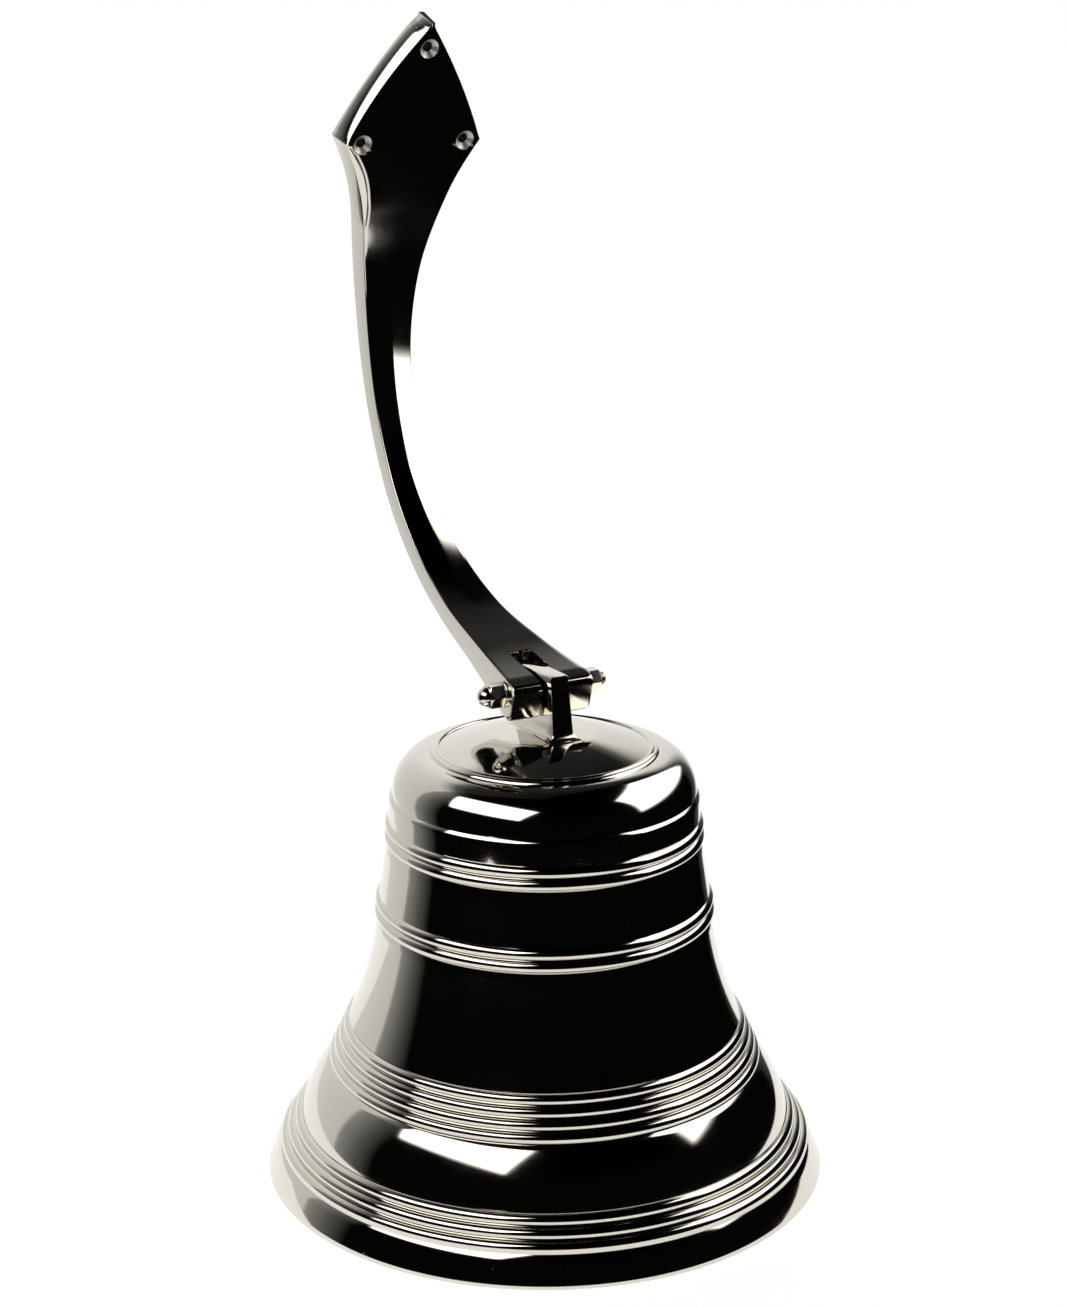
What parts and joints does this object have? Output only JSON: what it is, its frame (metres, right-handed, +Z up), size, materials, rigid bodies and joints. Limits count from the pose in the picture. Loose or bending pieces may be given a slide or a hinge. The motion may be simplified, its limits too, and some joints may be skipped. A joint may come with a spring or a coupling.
{
  "type": "ship bell",
  "caption": "Reeded bell with a hanging clapper, hinged by a lug and bolt to the fork of a curved bracket arm that ends in a screw plate.",
  "frame": {"origin": "centre of the bell's mouth, on the surface that the bell stands on", "axes": "+Z up the bell's axis; X along the pivot bolt; the bracket arm rises behind the bell towards +Y"},
  "size_m": [0.254, 0.2818, 0.5105],
  "materials": {
    "bell_plate": "nickel plated cast brass, turned and mirror polished",
    "bracket_plate": "nickel plated cast brass, hand polished",
    "plated_hardware": "nickel plated turned brass",
    "clapper_plate": "nickel plated, polished",
    "plain_steel": "zinc plated steel"
  },
  "bodies": {
    "bell": {"bell_shell": "bell_plate", "hanger_lug": "bell_plate", "crown_washer": "plain_steel", "crown_lock_washer": "plain_steel", "crown_nut": "plain_steel", "clapper_eye_bolt": "plain_steel"},
    "bracket": {"bracket_arm": "bracket_plate", "pivot_stud": "plated_hardware", "pivot_acorn_nut": "plated_hardware", "pivot_hex_nut": "plated_hardware", "pivot_washers": "plated_hardware"},
    "shackle": {"clapper_shackle": "plain_steel"},
    "clapper": {"clapper_rod": "plain_steel", "clapper_collar_nut": "plain_steel", "clapper_ball": "clapper_plate", "clapper_rope_eye": "clapper_plate"}
  },
  "joints": [
    {"name": "bracket_pivot", "type": "hinge", "parent": "bell", "child": "bracket", "pos_m": [0, 0, 0.225], "axis": [1, 0, 0], "range_deg": [-20, 170]},
    {"name": "shackle_swing", "type": "hinge", "parent": "bell", "child": "shackle", "pos_m": [0, 0, 0.1679], "axis": [1, 0, 0], "range_deg": [-24, 24]},
    {"name": "clapper_swing", "type": "hinge", "parent": "shackle", "child": "clapper", "pos_m": [0, 0, 0.15375], "axis": [0, 1, 0], "range_deg": [-24, 24]}
  ]
}
